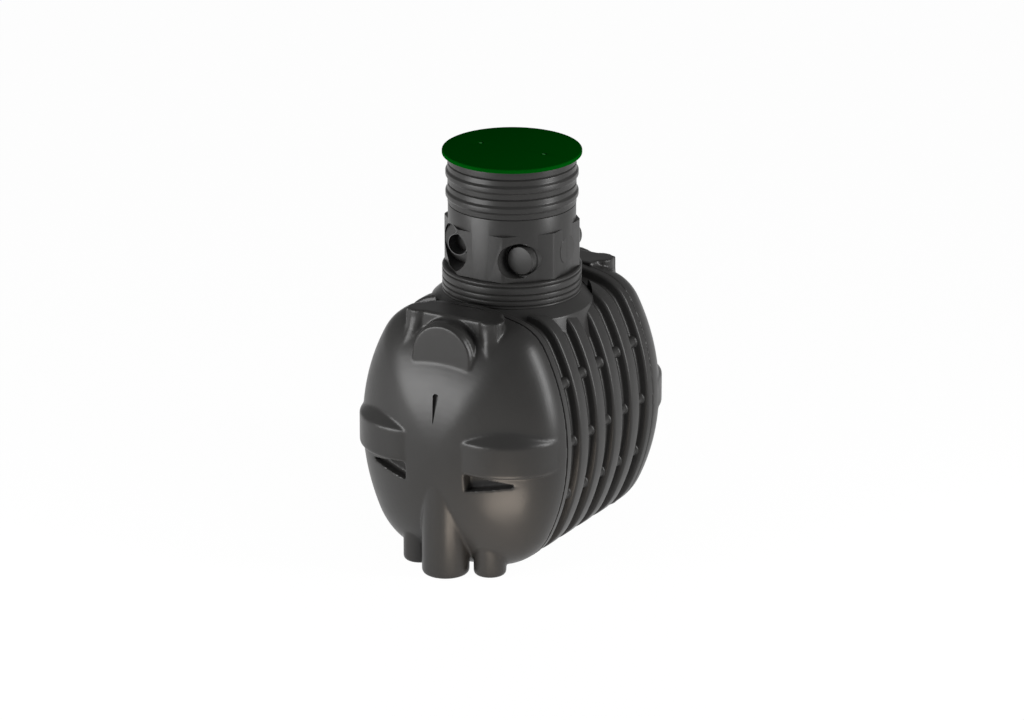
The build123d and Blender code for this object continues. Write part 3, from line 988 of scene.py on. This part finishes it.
def soft_lamp(name, place, aim, width, height, power, colour=(1, 1, 1)):
    """A large area lamp that points at a place; the camera doesn't see the lamp itself."""
    data = bpy.data.lights.new(name, "AREA")
    data.shape = "RECTANGLE"
    data.size = width
    data.size_y = height
    data.energy = power
    data.color = colour
    lamp = bpy.data.objects.new(name, data)
    lamp.location = place
    lamp.rotation_euler = (Vector(aim) - Vector(place)).to_track_quat("-Z", "Y").to_euler()
    lamp.visible_camera = False
    bpy.context.scene.collection.objects.link(lamp)
    return lamp


def place_from(turn, rise, distance, height):
    """A place at a turn from straight in front, positive to the right, and a rise over a height."""
    level = math.cos(rise) * distance
    return (level * math.sin(turn), -level * math.cos(turn), height + math.sin(rise) * distance)


def seen_directly(tree, share):
    """A factor for camera, glossy and transmission rays: share for them and 0 for the rest."""
    path = node(tree, "ShaderNodeLightPath", -900, 300)
    first = node(tree, "ShaderNodeMath", -700, 300, operation="MAXIMUM")
    tree.links.new(path.outputs["Is Camera Ray"], first.inputs[0])
    tree.links.new(path.outputs["Is Glossy Ray"], first.inputs[1])
    second = node(tree, "ShaderNodeMath", -500, 300, operation="MAXIMUM")
    tree.links.new(first.outputs[0], second.inputs[0])
    tree.links.new(path.outputs["Is Transmission Ray"], second.inputs[1])
    part = node(tree, "ShaderNodeMath", -300, 300, operation="MULTIPLY")
    part.inputs[1].default_value = share
    tree.links.new(second.outputs[0], part.inputs[0])
    return part.outputs[0]


def floor_material(whiteness):
    """A pale matt floor that shows as white and keeps a faint shadow."""
    made = bpy.data.materials.new("Pale floor")
    made.use_nodes = True
    tree = made.node_tree
    shader = tree.nodes["Principled BSDF"]
    shader.inputs["Base Color"].default_value = (0.9, 0.9, 0.9, 1)
    shader.inputs["Roughness"].default_value = 0.9
    shader.inputs["Specular IOR Level"].default_value = 0.0
    white = node(tree, "ShaderNodeEmission", -300, 100)
    mix = node(tree, "ShaderNodeMixShader", 300, 200)
    tree.links.new(seen_directly(tree, whiteness), mix.inputs["Fac"])
    tree.links.new(shader.outputs["BSDF"], mix.inputs[1])
    tree.links.new(white.outputs["Emission"], mix.inputs[2])
    tree.links.new(mix.outputs["Shader"], tree.nodes["Material Output"].inputs["Surface"])
    return made


class TANK_OT_stage(bpy.types.Operator):
    """Make the floor, the soft studio light and the camera."""

    bl_idname = "tank.stage"
    bl_label = "Make the stage"

    def execute(self, context):
        scene = context.scene
        setup = scene.tank_stage
        # Floor
        grid = bmesh.new()
        bmesh.ops.create_grid(grid, x_segments=1, y_segments=1, size=setup.floor_reach)
        mesh = bpy.data.meshes.new("floor")
        grid.to_mesh(mesh)
        grid.free()
        floor = bpy.data.objects.new("floor", mesh)
        scene.collection.objects.link(floor)
        paint(floor, floor_material(setup.floor_whiteness))
        # World
        world = bpy.data.worlds.new("Studio")
        scene.world = world
        world.use_nodes = True
        tree = world.node_tree
        tree.nodes["Background"].inputs["Color"].default_value = (1, 1, 1, 1)
        tree.nodes["Background"].inputs["Strength"].default_value = setup.world_strength
        # Lamps: a broad one front left, a tall strip on the right and a warm one low in front
        middle = (0, 0, 0.7)
        soft_lamp("front_lamp", place_from(math.radians(-30), math.radians(8), 5, 0.9), middle,
                  3.4, 1.9, setup.front_power)
        soft_lamp("side_lamp", place_from(math.radians(97), math.radians(20), 5, 0.7), middle,
                  1.0, 4.0, setup.side_power)
        soft_lamp("low_lamp", (0.55, -1.05, 0.03), (0.33, -0.66, 0.28), 0.5, 0.4, setup.low_power,
                  (1.0, 0.86, 0.72))
        # Camera
        direction = Vector((
            math.sin(setup.camera_turn) * math.cos(setup.camera_rise),
            -math.cos(setup.camera_turn) * math.cos(setup.camera_rise),
            math.sin(setup.camera_rise),
        ))
        data = bpy.data.cameras.new("camera")
        data.sensor_width = 36.0
        data.lens = setup.picture_scale * setup.camera_distance * data.sensor_width
        data.clip_end = 200.0
        camera = bpy.data.objects.new("camera", data)
        scene.collection.objects.link(camera)
        camera.location = Vector((0, 0, setup.aim_height)) + direction * setup.camera_distance
        camera.rotation_euler = (-direction).to_track_quat("-Z", "Y").to_euler()
        scene.camera = camera
        scene.view_settings.view_transform = "Standard"
        return {"FINISHED"}


class TANK_PT_panel(bpy.types.Panel):
    """Lists the tank's operators in the sidebar."""

    bl_label = "Rainwater tank"
    bl_idname = "TANK_PT_panel"
    bl_space_type = "VIEW_3D"
    bl_region_type = "UI"
    bl_category = "Tank"

    def draw(self, context):
        for group in ("tank_finish", "tank_shape", "tank_stage"):
            settings = getattr(context.scene, group)
            for name in settings.bl_rna.properties.keys():
                if name not in ("rna_type", "name"):
                    self.layout.prop(settings, name)
        for operator in OPERATORS:
            self.layout.operator(operator.bl_idname)


GROUPS = (TankFinish, TankShape, TankStage)
OPERATORS = (TANK_OT_stage, TANK_OT_ends, TANK_OT_body, TANK_OT_neck, TANK_OT_lid)


def register():
    for kind in GROUPS + OPERATORS + (TANK_PT_panel,):
        bpy.utils.register_class(kind)
    bpy.types.Scene.tank_finish = PointerProperty(type=TankFinish)
    bpy.types.Scene.tank_shape = PointerProperty(type=TankShape)
    bpy.types.Scene.tank_stage = PointerProperty(type=TankStage)


def unregister():
    del bpy.types.Scene.tank_finish
    del bpy.types.Scene.tank_shape
    del bpy.types.Scene.tank_stage
    for kind in reversed(GROUPS + OPERATORS + (TANK_PT_panel,)):
        bpy.utils.unregister_class(kind)


def main():
    register()
    bpy.ops.tank.stage()
    bpy.ops.tank.ends()
    bpy.ops.tank.body()
    bpy.ops.tank.neck()
    bpy.ops.tank.lid()


if __name__ == "__main__":
    main()
